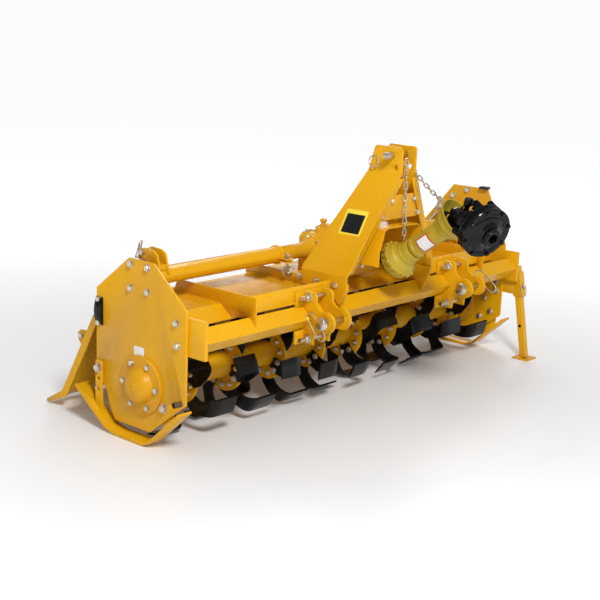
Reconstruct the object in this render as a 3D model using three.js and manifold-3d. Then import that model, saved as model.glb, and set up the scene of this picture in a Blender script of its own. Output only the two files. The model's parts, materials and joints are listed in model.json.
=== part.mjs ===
// Rotary tiller for a tractor's three-point hitch, driven by the power take-off.
// Millimetres, +Z up, -Y forward to the tractor, +X to the drive side.
// The rotor axis lies at y = 0 in the layout below; the whole model is moved onto its floor and
// centred at the end.

import * as THREE from 'three';
import { mergeVertices } from 'three/addons/utils/BufferGeometryUtils.js';
import Module from 'manifold-3d';

const wasm = await Module();
wasm.setup();

// ---- Driving dimensions ----

const HALF_WIDTH = 930;        // outer faces of the two side plates
const PLATE = 10;              // side plate thickness
const GAP = 0.3;               // kept between touching pieces
const FLOOR = -12;             // height of the ground under the skids and the leg
const ROTOR_Z = 182;           // rotor axis
const TUBE_Y = 13;             // cross tube and gearbox axis
const TUBE_Z = 538;
const DECK_Z = 440;            // top of the hood's flat deck
const BEAM_Y = -238;           // centre of the front beam, a square tube on its corner
const BEAM_Z = 375;
const BEAM_SIDE = 60;
const RIB_X = 670;             // ribs that stiffen the deck
const MOUNT_X = 250;           // side flanges of the gearbox mount
const TIP_RADIUS = 191;        // swept by the leading edge of a blade's foot
const GANGS = 8;
const GANG_PITCH = 218.6;
const GANG_LEAD = 16.7;        // degrees that each gang is turned ahead of its neighbour
const INNER_JOINT = [0, -329, 538];
const OUTER_JOINT = [0, -605, 747.3];
const CLUTCH_AXIS = [-0.3252, -0.8807, -0.3443];
const BOSS_END = 176.2;         // from the outer joint, along the clutch's axis
const TAIL_HINGE = [258, 379]; // y, z
const ROD_PIVOT = [66, 610];
const ROD_X = 850;
const LEG_X = 949;             // parking leg
const LEG_TILT = THREE.MathUtils.degToRad(10);
const SHIFT = [-7.5, 120.7];   // puts the model's box on the middle of its frame

const INNER_SIDE = HALF_WIDTH - PLATE;

// ---- Materials ----

const finish = (color, roughness, metalness) =>
  new THREE.MeshStandardMaterial({ color, roughness, metalness });

const MATERIALS = {
  paint: finish('#e8a614', 0.3, 0.1),
  zinc: finish('#c9c6bd', 0.35, 0.9),
  black_steel: finish('#17181a', 0.4, 0.4),
  guard: finish('#b99a1e', 0.5, 0),
};

const model = new THREE.Group();

function add(name, solid, material) {
  const mesh = new THREE.Mesh(toGeometry(solid), MATERIALS[material]);
  mesh.name = name;
  model.add(mesh);
}

// ---- Solids ----

function toSolid(geometry) {
  const bare = geometry.index ? geometry.toNonIndexed() : geometry.clone();
  for (const key of Object.keys(bare.attributes)) {
    if (key !== 'position') bare.deleteAttribute(key);
  }
  const welded = mergeVertices(bare, 1e-3);
  return new wasm.Manifold(new wasm.Mesh({
    numProp: 3,
    vertProperties: new Float32Array(welded.attributes.position.array),
    triVerts: new Uint32Array(welded.index.array),
  }));
}

function toGeometry(solid) {
  const mesh = solid.getMesh();
  const geometry = new THREE.BufferGeometry();
  geometry.setAttribute('position', new THREE.BufferAttribute(mesh.vertProperties, 3));
  geometry.setIndex(new THREE.BufferAttribute(mesh.triVerts, 1));
  geometry.computeVertexNormals();
  return geometry;
}

const union = (...solids) => solids.reduce((a, b) => a.add(b));
const cut = (solid, ...tools) => tools.reduce((a, b) => a.subtract(b), solid);

// Basis matrices that lay a flat shape's first axis, second axis and depth along model axes.
const ACROSS = new THREE.Matrix4().makeBasis(
  new THREE.Vector3(0, 1, 0), new THREE.Vector3(0, 0, 1), new THREE.Vector3(1, 0, 0));
const ALONG = new THREE.Matrix4().makeBasis(
  new THREE.Vector3(1, 0, 0), new THREE.Vector3(0, 0, 1), new THREE.Vector3(0, -1, 0));

function shapeOf(outline, holes = []) {
  const shape = new THREE.Shape(outline.map(([a, b]) => new THREE.Vector2(a, b)));
  for (const [a, b, radius] of holes) {
    const hole = new THREE.Path();
    hole.absarc(a, b, radius, 0, Math.PI * 2, true);
    shape.holes.push(hole);
  }
  return shape;
}

function extrude(shape, depth, bevel = 0) {
  return new THREE.ExtrudeGeometry(shape, {
    depth: depth - 2 * bevel, curveSegments: 8,
    bevelEnabled: bevel > 0, bevelThickness: bevel, bevelSize: bevel, bevelOffset: -bevel,
    bevelSegments: 2,
  }).translate(0, 0, bevel);
}

// A y-z outline given depth from x0 to x1.
function across(outline, x0, x1, holes = [], bevel = 0) {
  const geometry = extrude(shapeOf(outline, holes), x1 - x0, bevel);
  return toSolid(geometry.applyMatrix4(ACROSS).translate(x0, 0, 0));
}

// An x-z outline given depth from y0 forward to y1, where y1 < y0.
function along(outline, y0, y1, holes = []) {
  const geometry = extrude(shapeOf(outline, holes), y0 - y1);
  return toSolid(geometry.applyMatrix4(ALONG).translate(0, y0, 0));
}

function box(x0, x1, y0, y1, z0, z1) {
  return toSolid(new THREE.BoxGeometry(x1 - x0, y1 - y0, z1 - z0)
    .translate((x0 + x1) / 2, (y0 + y1) / 2, (z0 + z1) / 2));
}

// Turned profile of [radius, distance] points, along an axis from a point.
function turned(profile, from, axis, segments = 24) {
  const points = profile.map(([r, s]) => new THREE.Vector2(r, s));
  const turn = new THREE.Quaternion().setFromUnitVectors(
    new THREE.Vector3(0, 1, 0), new THREE.Vector3(...axis).normalize());
  return toSolid(new THREE.LatheGeometry(points, segments)
    .applyQuaternion(turn).translate(...from));
}

function rod(radius, from, to, segments = 20) {
  const start = new THREE.Vector3(...from);
  const span = new THREE.Vector3(...to).sub(start);
  const length = span.length();
  return turned([[0, 0], [radius, 0], [radius, length], [0, length]], from, span.toArray(),
    segments);
}

function mirrored(solid) {
  return solid.mirror([1, 0, 0]);
}

function arc(cy, cz, radius, start, end, steps) {
  return Array.from({ length: steps + 1 }, (_, i) => {
    const a = THREE.MathUtils.degToRad(start + (end - start) * i / steps);
    return [cy + radius * Math.cos(a), cz + radius * Math.sin(a)];
  });
}

// ---- Side plates ----

const LOWER_REAR = [[132, 28], [158, 66], [177, 124]];
const NOTCH = [[196, 150], [212, 168], [216, 196], [230, 206]];
const SIDE_LEFT = [
  [-43, 28], ...LOWER_REAR, ...NOTCH, [230, 473], [68, 599], [-51, 599], [-209, 469], [-209, 158]];
const SIDE_RIGHT = [
  [-43, 28], ...LOWER_REAR, ...NOTCH, [230, 505], [72, 693], [-100, 693], [-209, 469],
  [-209, 158]];

add('side_plate_left', across(SIDE_LEFT, -HALF_WIDTH, -INNER_SIDE), 'paint');
add('side_plate_right', across(SIDE_RIGHT, INNER_SIDE, HALF_WIDTH), 'paint');

// Turned cover over the rotor's left bearing.
const domeProfile = [[0, 0], [102, 0], [102, 8], [80, 8], [66, 14], [60, 28], [44, 38], [16, 41],
  [16, 46], [0, 46]];
add('bearing_cover_left',
  turned(domeProfile, [-HALF_WIDTH - GAP, 0, ROTOR_Z], [-1, 0, 0], 28), 'paint');

// Bearing housings that reach in to the rotor's ends.
for (const [side, sign] of [['left', -1], ['right', 1]]) {
  add(`bearing_housing_${side}`,
    turned([[0, 0], [84, 0], [84, 12], [62, 20], [62, 46], [0, 46]],
      [sign * (INNER_SIDE - GAP), 0, ROTOR_Z], [-sign, 0, 0], 20), 'paint');
}

// Oil-tight case of the side gear train, two round ends joined by straight flanks.
function stadium(low, high, lowRadius, highRadius) {
  return [
    ...arc(0, low, lowRadius, 180, 360, 10),
    ...arc(TUBE_Y, high, highRadius, 0, 180, 10)];
}
add('gear_case', union(
  across(stadium(ROTOR_Z, 560, 133, 112), HALF_WIDTH + GAP, HALF_WIDTH + 12),
  across(stadium(ROTOR_Z, 560, 112, 92), HALF_WIDTH + 10, HALF_WIDTH + 58, [], 10)), 'paint');

// ---- Front beam ----

const half = BEAM_SIDE / Math.SQRT2;
const hollow = (BEAM_SIDE - 10) / Math.SQRT2;
const diamond = r => [
  [BEAM_Y - r, BEAM_Z], [BEAM_Y, BEAM_Z - r], [BEAM_Y + r, BEAM_Z], [BEAM_Y, BEAM_Z + r]];
const BEAM_END = 905;
add('front_beam', cut(
  across(diamond(half), -BEAM_END, BEAM_END),
  across(diamond(hollow), -BEAM_END - 5, BEAM_END + 5)), 'paint');

const flangeOutline = [[-130, 322], [-130, 440], [-145, 448], [-285, 448], [-285, 322]];
add('beam_flange_left',
  across(flangeOutline, -INNER_SIDE + GAP, -BEAM_END - GAP), 'paint');
add('beam_flange_right',
  across(flangeOutline, BEAM_END + GAP, INNER_SIDE - GAP), 'paint');

// ---- Cross tubes and gearbox ----

const TRUMPET_END = 268;
const CASE_HALF = 85;          // half the gearbox's width
const TUBE_FLANGE = box(-INNER_SIDE + GAP, -INNER_SIDE + 12, TUBE_Y - 56, TUBE_Y + 56,
  TUBE_Z - 56, TUBE_Z + 56);
for (const [side, sign] of [['left', -1], ['right', 1]]) {
  const at = x => [sign * x, TUBE_Y, TUBE_Z];
  add(`cross_tube_${side}`, union(
    rod(30, at(TRUMPET_END + 1), at(INNER_SIDE - GAP), 20),
    rod(35, at(TRUMPET_END + GAP), at(TRUMPET_END + 16), 20),
    side === 'left' ? TUBE_FLANGE : rod(95, at(INNER_SIDE - 12), at(INNER_SIDE - GAP), 32)),
  'paint');
  add(`axle_trumpet_${side}`, turned(
    [[0, 0], [50, 0], [47, 14], [32, 40], [28, 80], [27, 182.7], [0, 182.7]],
    at(CASE_HALF + GAP), [sign, 0, 0], 20), 'paint');
}

const gearboxOutline = [
  [-CASE_HALF, 449], [CASE_HALF, 449], [CASE_HALF, 575], [68, 592], [-68, 592],
  [-CASE_HALF, 575]];
add('gearbox', union(
  along(gearboxOutline, 74, -132),
  rod(48, [0, 5, 590], [0, 5, 612], 24),
  rod(32, [0, 5, 610], [0, 5, 620], 24),
  rod(52, [0, 72, TUBE_Z], [0, 92, TUBE_Z], 20),
  rod(56, [0, -130, TUBE_Z], [0, -166, TUBE_Z], 20),
  rod(40, [0, -164, TUBE_Z], [0, -182, TUBE_Z], 16),
  rod(17.5, [0, -180, TUBE_Z], [0, -252, TUBE_Z], 12),
  rod(9, [-8, 22, 618], [-8, 22, 642], 12)), 'paint');

// Yoke on the input shaft, under the guard's inner bell.
add('input_yoke', cut(
  rod(20, [0, -228, TUBE_Z], [0, INNER_JOINT[1] + 18, TUBE_Z], 16),
  rod(17.5 + GAP, [0, -220, TUBE_Z], [0, -253, TUBE_Z], 12)), 'black_steel');

// ---- Hood ----

const hoodOutline = [
  [245, 385], [175, DECK_Z], [-102, DECK_Z], [-160, 399], [-157, 394.5], [-100.4, 434.6],
  [173.2, 434.6], [241.8, 380.8]];
const hoodCorner = box(BEAM_END, INNER_SIDE, -170, -130 + GAP, 380, 450);
add('hood', cut(
  across(hoodOutline, -INNER_SIDE + GAP, INNER_SIDE - GAP),
  hoodCorner, mirrored(hoodCorner)), 'paint');

const ribOutline = [
  [128, DECK_Z + GAP], [110, 486], [-266, 486], [-266, BEAM_Z + half - 28 + 0.5],
  [BEAM_Y, BEAM_Z + half + 0.5], [-161, 399.5], [-102.2, DECK_Z + GAP]];
const WALL_TOP = 486;
for (const [side, sign] of [['left', -1], ['right', 1]]) {
  const place = solid => (sign < 0 ? mirrored(solid) : solid);
  add(`deck_rib_${side}`, place(across(ribOutline, RIB_X - 3, RIB_X + 3)), 'paint');
  add(`deck_wall_${side}`,
    place(box(MOUNT_X + 9, RIB_X - 3 - GAP, BEAM_Y + 2, BEAM_Y + 7, 428, WALL_TOP)), 'paint');
}

// Channel that carries the gearbox and the mast on the deck.
const mountSide = [
  [190, DECK_Z + GAP], [190, 478], [-303, 478], [-303, 452], [-272, BEAM_Z + half - 33],
  [BEAM_Y, BEAM_Z + half + 1], [-161, 399.6], [-102.2, DECK_Z + GAP]];
const mountFlange = across(mountSide, MOUNT_X - 8, MOUNT_X);
add('gearbox_mount', union(
  box(-MOUNT_X + 4, MOUNT_X - 4, -101, 190, DECK_Z + GAP, DECK_Z + 8),
  mountFlange, mirrored(mountFlange)), 'paint');

// ---- Mast ----

const MAST_FOLD = 504;
const MAST_TOP_FOLD = 858;
const MAST_X = MOUNT_X + GAP;
const TOP_X = 36;
const LEG_PLATE = 8;
// Front view of the bent leg plate, outer surface first, then the surface `inward` of it.
function legProfile(inward) {
  return [
    [MAST_X + LEG_PLATE, 380], [MAST_X + LEG_PLATE, MAST_FOLD],
    [TOP_X + LEG_PLATE, MAST_TOP_FOLD], [TOP_X + LEG_PLATE, 960],
    [TOP_X + LEG_PLATE - inward, 960], [TOP_X + LEG_PLATE - inward, MAST_TOP_FOLD - 4],
    [MAST_X + LEG_PLATE - inward, MAST_FOLD - 4], [MAST_X + LEG_PLATE - inward, 380]];
}
const legSide = [
  [-94, 450], [-94, 520], [-214, 873], [-232, 940], [-240, 949], [-350, 949], [-356, 940],
  [-356, 852], [-303, MAST_FOLD], [-303, 462], [-276, 402], [BEAM_Y - 8, 424], [-170, 450]];
const legFront = [
  [-356, 840], [-303, MAST_FOLD + 8], [-297, MAST_FOLD + 8], [-350, 840]];
const PIN_HOLES = [[-312, 918], [-331, 876]];
const PIN_RADIUS = 9.5;
function mastLeg() {
  const plate = along(legProfile(LEG_PLATE), -60, -380)
    .intersect(across(legSide, 10, 320));
  const lip = along(legProfile(30), -60, -380).intersect(across(legFront, 10, 320));
  const holes = PIN_HOLES.map(([y, z]) => rod(PIN_RADIUS + GAP, [0, y, z], [80, y, z], 20));
  return cut(union(plate, lip), ...holes);
}
add('mast_leg_right', mastLeg(), 'paint');
add('mast_leg_left', mirrored(mastLeg()), 'paint');

const gussetSide = [[-338.4, 780], [-323, 690], [-316.6, 690], [-332, 780]];
const gussetFront = [[-128, 690], [128, 690], [80, 780], [-80, 780]];
add('mast_gusset', along(gussetFront, -300, -360).intersect(across(gussetSide, -200, 200)),
  'paint');
add('top_link_pin', union(
  rod(PIN_RADIUS, [-70, ...PIN_HOLES[0]], [66, ...PIN_HOLES[0]], 20),
  rod(14, [-76, ...PIN_HOLES[0]], [-68, ...PIN_HOLES[0]], 20)), 'zinc');

// ---- Shield over the input shaft ----

const shieldOuter = [
  [132, 530], [132, 584], [104, 658], [88, 667], [-88, 667], [-104, 658], [-132, 584], [-132, 530]];
const shieldInner = [
  [128, 520], [128, 583], [101, 655], [87, 663], [-87, 663], [-101, 655], [-128, 583], [-128, 520]];
add('pto_shield', union(
  cut(along(shieldOuter, -167, -345), along(shieldInner, -160, -350)),
  cut(along(shieldOuter, -167, -171), rod(41, [0, -160, TUBE_Z], [0, -180, TUBE_Z], 24))),
  'paint');

// ---- Hitch clamps ----

const HITCH_PIN = [-345, 374];
const CLAMP_X = { left: [-405, -320], right: [427, 512] };
const clampOutline = [
  [-240, 470], [-288, 470], [-298, 458], [-300, 428], [-322, 409],
  ...arc(...HITCH_PIN, 38, 85, 285, 9),
  [-312, 334], [-296, 322], [-290, 300], [-290, 284], [-250, 284], [-240, 296],
  [-240, BEAM_Z - half + 1], [BEAM_Y - half - 1, BEAM_Z], [-240, BEAM_Z + half - 1 + GAP]];
const BACK_REACH = 46;         // how far the back plates pass the outer hook plate
for (const [side, [x0, x1]] of Object.entries(CLAMP_X)) {
  const plate = x => across(clampOutline, x - 5, x + 5, [[...HITCH_PIN, 11 + GAP]]);
  const back = (z0, z1) => box(x0 - BACK_REACH, x1 + 5, BEAM_Y - 8, BEAM_Y, z0, z1);
  add(`hitch_clamp_${side}`, union(plate(x0), plate(x1), back(BEAM_Z + half + 1, 470),
    back(284, BEAM_Z - half - 1)), 'paint');
  add(`hitch_pin_${side}`, union(
    rod(11, [x0 - 20, ...HITCH_PIN], [x1 + 28, ...HITCH_PIN], 16),
    rod(17, [x0 - 26, ...HITCH_PIN], [x0 - 16, ...HITCH_PIN], 16)), 'zinc');
}

// ---- Skids ----

const skidTop = [
  [301, 123], [180, 36], [140, 10], [95, 0], [-42, 0], [-72, 11], [-212, 140]];
const skidBottom = [
  [-217, 134], [-76, 4], [-44, -8], [-36, FLOOR], [90, FLOOR], [100, -8], [144, 2], [184, 28],
  [305, 116]];
const skidOutline = [...skidTop, ...skidBottom];
const uprightHoles = [0, 1, 2].map(i => [210, 120 + 38 * i, 7]);
for (const [side, sign, inner, plate] of [
  ['left', -1, 905, HALF_WIDTH + GAP], ['right', 1, 931.3, HALF_WIDTH + GAP]]) {
  const strip = across(skidOutline, inner, inner + 60);
  const upright = across([[194, 42], [226, 64], [226, 222], [194, 222]], plate, plate + 8,
    uprightHoles);
  const lug = across([[-150, 78], [-98, 30], [-92, 150], [-128, 150]],
    INNER_SIDE - 8 - GAP, INNER_SIDE - GAP);
  const solid = side === 'left' ? union(strip, upright, lug)
    : union(strip, upright, across([[-178, 104], [-120, 50], [-150, 150], [-178, 150]],
      plate + 5, plate + 13));
  add(`skid_${side}`, sign < 0 ? mirrored(solid) : solid, 'paint');
}

// ---- Parking stand ----

const legDirection = [0, Math.sin(LEG_TILT), Math.cos(LEG_TILT)];
const FOOT = [LEG_X, -329, FLOOR];
// A square bar along the leg, from a distance above the foot to another.
function legBar(side, from, to) {
  return toSolid(new THREE.BoxGeometry(side, side, to - from)
    .translate(0, 0, (from + to) / 2).rotateX(-LEG_TILT).translate(...FOOT));
}
const SOCKET = 37;
const armOutline = [[-150, 262], [-150, 350], [-258, 350], [-272, 262]];
add('stand_socket', cut(
  union(across(armOutline, HALF_WIDTH + GAP, HALF_WIDTH + 8), legBar(SOCKET, 270, 374)),
  legBar(30.4, 210, 430)), 'paint');
add('parking_leg', union(
  legBar(27, 6, 400).intersect(box(900, 1000, -400, -200, FLOOR + 4, 500)),
  box(LEG_X - 38, LEG_X + 38, FOOT[1] - 38, FOOT[1] + 38, FLOOR, FLOOR + 6)), 'paint');

// ---- Tailboard ----

const HINGE_KNUCKLES = [-740, 0, 740];
const [hingeY, hingeZ] = TAIL_HINGE;
const KNEE = [440, 52];
const LIP = [533, 2];
add('tailboard_hinge', union(
  rod(7, [-785, hingeY, hingeZ], [785, hingeY, hingeZ], 12),
  ...HINGE_KNUCKLES.map(x => across(
    [[252, 366], [262, 366], [268, 384], [262, 391], [249, 391], [246.5, 384]],
    x + 30, x + 38))), 'paint');

const boardOutline = [
  [268, 366], [KNEE[0] + 2, KNEE[1] + 2], LIP, [LIP[0] - 3, LIP[1] - 4],
  [KNEE[0] - 1, KNEE[1] - 2], [264, 363]];
const edgeOutline = [[268, 366], [KNEE[0] + 2, KNEE[1] + 2], LIP, [LIP[0] - 10, LIP[1] - 10],
  [KNEE[0] - 20, KNEE[1] - 16], [244, 352]];
const knuckle = x => cut(
  union(rod(13, [x - 25, hingeY, hingeZ], [x + 25, hingeY, hingeZ], 20),
    across([[256, 366], [270, 377], [282, 342], [276, 338]], x - 25, x + 25)),
  rod(8, [x - 30, hingeY, hingeZ], [x + 30, hingeY, hingeZ], 16));
const ROD_EYE = [381, 263];
const lugOutline = [
  [317, 273], [366, 283], [386, 283], [400, 272], [402, 256], [394, 242], [356, 203]];
const lugs = [-1, 1].flatMap(sign => [-1, 1].map(face => {
  const x = sign * ROD_X + face * 20;
  return across(lugOutline, x - 4, x + 4);
}));
add('tailboard', union(
  across(boardOutline, -914, 914),
  across(edgeOutline, -914, -908), across(edgeOutline, 908, 914),
  ...HINGE_KNUCKLES.map(knuckle), ...lugs), 'paint');

// Rods that set how low the tailboard hangs; each turns on a bracket and slides in the lugs.
for (const [side, sign] of [['left', -1], ['right', 1]]) {
  const x = sign * ROD_X;
  const bracketOutline = [
    [TUBE_Y - 34, TUBE_Z + 10], [TUBE_Y + 34, TUBE_Z + 10], [82, 598], [82, 618], [64, 626],
    [16, 624], [-4, 612]];
  const cheek = face => across(bracketOutline, x + face * 18 - 4, x + face * 18 + 4);
  add(`rod_bracket_${side}`, cut(
    union(cheek(-1), cheek(1), rod(6, [x - 26, ...ROD_PIVOT], [x + 26, ...ROD_PIVOT], 14),
      box(x - 22, x + 22, TUBE_Y - 24, TUBE_Y + 24, TUBE_Z + 22, TUBE_Z + 40)),
    rod(30 + GAP, [x - 60, TUBE_Y, TUBE_Z], [x + 60, TUBE_Y, TUBE_Z], 20)), 'paint');
  const reach = [ROD_EYE[0] - ROD_PIVOT[0], ROD_EYE[1] - ROD_PIVOT[1]];
  const length = Math.hypot(...reach);
  const at = s => [x, ROD_PIVOT[0] + reach[0] * s / length, ROD_PIVOT[1] + reach[1] * s / length];
  add(`tailboard_rod_${side}`, cut(
    union(rod(13, [x - 10, ...ROD_PIVOT], [x + 10, ...ROD_PIVOT], 20), rod(8, at(8), at(507), 14)),
    rod(6.5, [x - 30, ...ROD_PIVOT], [x + 30, ...ROD_PIVOT], 14)), 'zinc');
}

// ---- Rotor ----

const ROTOR_TUBE = 45;
const ROTOR_END = 866;
const FLANGE = 97;
add('rotor_tube', cut(
  rod(ROTOR_TUBE, [-ROTOR_END, 0, ROTOR_Z], [ROTOR_END, 0, ROTOR_Z], 20),
  rod(ROTOR_TUBE - 6, [-ROTOR_END - 1, 0, ROTOR_Z], [ROTOR_END + 1, 0, ROTOR_Z], 20)), 'paint');

// One blade, set on the flange at angle zero: a swept strip that turns out to +X at its foot.
// Each station gives the outer and inner face as [x, radius], the share of that radius that the
// trailing edge keeps, and the angle and half angle of the strip in degrees.
const FOOT_REACH = 116;
const BLADE_STATIONS = [
  [[4.6, 50], [12.6, 50], 1, 0, 24],
  [[4.6, 95], [12.6, 95], 1, -3, 17.5],
  [[4.6, 140], [12.6, 140], 1, -15, 13],
  [[4.6, 172], [12.6, 167], 0.945, -26, 11.5],
  [[11, TIP_RADIUS - 6], [17, TIP_RADIUS - 12], 0.942, -29, 10.4],
  [[24, TIP_RADIUS], [26, TIP_RADIUS - 8], 0.942, -30, 10],
  [[FOOT_REACH, TIP_RADIUS], [FOOT_REACH, TIP_RADIUS - 6], 0.942, -30, 10]];
function blade() {
  const points = BLADE_STATIONS.flatMap(([outer, inner, keep, angle, spread]) => {
    const corner = ([x, r], share, turn) => {
      const a = THREE.MathUtils.degToRad(turn);
      return [x, r * share * Math.cos(a), r * share * Math.sin(a)];
    };
    return [corner(inner, keep, angle - spread), corner(inner, 1, angle + spread),
      corner(outer, 1, angle + spread), corner(outer, keep, angle - spread)];
  });
  const faces = [[0, 1, 2], [0, 2, 3]];
  const last = points.length - 4;
  for (let i = 0; i < last; i += 4) {
    for (let k = 0; k < 4; k += 1) {
      const next = (k + 1) % 4;
      faces.push([i + k, i + 4 + next, i + next], [i + k, i + 4 + k, i + 4 + next]);
    }
  }
  faces.push([last, last + 2, last + 1], [last, last + 3, last + 2]);
  const geometry = new THREE.BufferGeometry();
  geometry.setAttribute('position', new THREE.Float32BufferAttribute(points.flat(), 3));
  geometry.setIndex(faces.flat());
  return toSolid(geometry);
}
function gang(index) {
  const x = (index - (GANGS - 1) / 2) * GANG_PITCH;
  const phase = 178 + GANG_LEAD * index;
  let solid = cut(rod(FLANGE, [-5, 0, 0], [5, 0, 0], 24),
    rod(ROTOR_TUBE + GAP, [-6, 0, 0], [6, 0, 0], 20));
  const right = blade();
  const left = mirrored(right);
  for (let k = 0; k < 6; k += 1) {
    solid = solid.add((k % 2 ? right : left).rotate([phase + 60 * k, 0, 0]));
  }
  return solid.translate([x, 0, ROTOR_Z]);
}
for (let i = 0; i < GANGS; i += 1) add(`tine_gang_${i + 1}`, gang(i), 'black_steel');

// ---- Driveline ----

const inner = new THREE.Vector3(...INNER_JOINT);
const outer = new THREE.Vector3(...OUTER_JOINT);
const SPAN = inner.distanceTo(outer);
const shaft = outer.clone().sub(inner).normalize().toArray();

// Inner guard: a bell round the gearbox joint and a tube that slides in the outer guard.
add('guard_inner', turned([
  [60, -22], [63, -22], [63, 0], [68, 3], [68, 14], [64, 17], [58, 24], [50, 34], [44, 44],
  [41, 84], [31, 90], [31, SPAN - 60], [27, SPAN - 60], [27, 86], [37, 80], [40, 44], [52, 26],
  [60, 12], [60, -22]], INNER_JOINT, shaft, 20), 'guard');

// Outer guard: slides on the inner one and flares into a bell short of the outer joint.
add('guard_outer', turned([
  [32, 96], [39, 96], [39, 108], [36, 112], [36, SPAN - 140], [42, SPAN - 106], [50, SPAN - 98],
  [55, SPAN - 84], [64, SPAN - 70], [68, SPAN - 56], [76, SPAN - 32], [72, SPAN - 32],
  [64, SPAN - 54], [60, SPAN - 66], [51, SPAN - 80], [46, SPAN - 92], [38, SPAN - 102],
  [32, SPAN - 130], [32, 96]], INNER_JOINT, shaft, 20), 'guard');

// Slip clutch on the free end of the driveline, behind the cross of the outer joint.
add('slip_clutch', turned([
  [0, -44], [26, -44], [44, -30], [52, -8], [52, 8], [44, 30], [36, 50], [38, 70], [48, 84],
  [62, 92], [88, 99], [92, 102], [92, 113], [87, 115], [87, 126], [92, 128], [92, 139],
  [88, 142], [58, 144], [40, 150], [30, 156], [30, BOSS_END], [18, BOSS_END], [18, 112],
  [0, 112]], OUTER_JOINT, CLUTCH_AXIS, 24), 'black_steel');

model.position.set(SHIFT[0], SHIFT[1], -FLOOR);

export default model;
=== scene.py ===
# Rotary tiller for a tractor's three-point hitch: finishes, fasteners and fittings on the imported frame.

import json
from math import atan2, cos, pi, radians, sin, sqrt

import bmesh
import bpy
from mathutils import Matrix, Quaternion, Vector

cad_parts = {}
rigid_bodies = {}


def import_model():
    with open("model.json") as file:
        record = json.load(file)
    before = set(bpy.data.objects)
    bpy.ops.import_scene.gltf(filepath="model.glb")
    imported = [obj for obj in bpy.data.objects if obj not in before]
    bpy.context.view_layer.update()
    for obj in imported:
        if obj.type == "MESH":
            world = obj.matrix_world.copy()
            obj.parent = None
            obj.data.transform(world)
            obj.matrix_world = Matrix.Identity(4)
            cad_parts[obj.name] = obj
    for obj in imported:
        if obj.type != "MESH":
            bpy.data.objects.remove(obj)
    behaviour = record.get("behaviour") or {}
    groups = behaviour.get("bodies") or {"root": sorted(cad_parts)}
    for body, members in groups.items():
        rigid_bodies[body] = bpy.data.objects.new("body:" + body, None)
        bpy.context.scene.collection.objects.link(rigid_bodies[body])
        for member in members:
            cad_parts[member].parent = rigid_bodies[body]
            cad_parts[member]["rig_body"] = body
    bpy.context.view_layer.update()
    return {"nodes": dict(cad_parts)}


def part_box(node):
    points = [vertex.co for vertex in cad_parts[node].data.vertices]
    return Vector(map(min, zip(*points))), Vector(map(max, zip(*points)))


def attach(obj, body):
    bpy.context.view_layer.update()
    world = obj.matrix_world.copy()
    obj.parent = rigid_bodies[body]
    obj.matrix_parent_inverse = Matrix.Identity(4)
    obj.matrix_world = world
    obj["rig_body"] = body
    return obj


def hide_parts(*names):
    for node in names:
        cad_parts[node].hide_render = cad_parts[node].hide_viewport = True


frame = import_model()

# ---- Studio ----
# A pale floor and backdrop, a white room light and two large soft lamps. The camera stands at the
# left front, a little above the mast.

scene = bpy.context.scene
scene.view_settings.view_transform = "Standard"

# Which way the camera swings round from +Y, how far it dips, and its slight roll.
swing = radians(-48.956)
dip = radians(13.386)
roll = radians(2.263)
right = Vector((cos(swing), sin(swing), 0))
look = Vector((-sin(swing) * cos(dip), cos(swing) * cos(dip), -sin(dip)))
up = right.cross(look)
across_frame = right * cos(roll) + up * sin(roll)
up_frame = up * cos(roll) - right * sin(roll)
camera_data = bpy.data.cameras.new("camera")
camera_data.lens = 73.13
camera_data.sensor_width = 36
camera = bpy.data.objects.new("camera", camera_data)
turn = Matrix((across_frame, up_frame, -look)).transposed().to_4x4()
camera.matrix_world = Matrix.Translation((-3.4979, -2.7871, 1.4173)) @ turn
scene.collection.objects.link(camera)
scene.camera = camera


def stage_finish(mesh, settings):
    material = bpy.data.materials.new(mesh.name)
    material.use_nodes = True
    for socket, value in settings.items():
        material.node_tree.nodes["Principled BSDF"].inputs[socket].default_value = value
    mesh.materials.append(material)
    return material.node_tree


floor_mesh = bpy.data.meshes.new("floor")
reach = 400
floor_mesh.from_pydata(
    [(-reach, -reach, 0), (reach, -reach, 0), (reach, reach, 0), (-reach, reach, 0)], [],
    [(0, 1, 2, 3)])
floor = bpy.data.objects.new("floor", floor_mesh)
scene.collection.objects.link(floor)
floor_tree = stage_finish(floor_mesh, {
    "Base Color": (0.86, 0.86, 0.865, 1), "Roughness": 0.42, "Specular IOR Level": 0.3,
    "Emission Color": (1, 1, 1, 1)})
# The floor glows more the farther it is from the machine. This is a painted glow that stands in for the
# light on a backdrop paper.
spot_on_floor = floor_tree.nodes.new("ShaderNodeTexCoord")
far_off = floor_tree.nodes.new("ShaderNodeVectorMath")
far_off.operation = "LENGTH"
painted_glow = floor_tree.nodes.new("ShaderNodeMapRange")
for socket, number in zip(painted_glow.inputs[1:5], (0.9, 4.0, 0.04, 0.6)):
    socket.default_value = number
wire_floor = floor_tree.links.new
wire_floor(spot_on_floor.outputs["Object"], far_off.inputs[0])
wire_floor(far_off.outputs["Value"], painted_glow.inputs["Value"])
wire_floor(painted_glow.outputs["Result"],
           floor_tree.nodes["Principled BSDF"].inputs["Emission Strength"])

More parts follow.
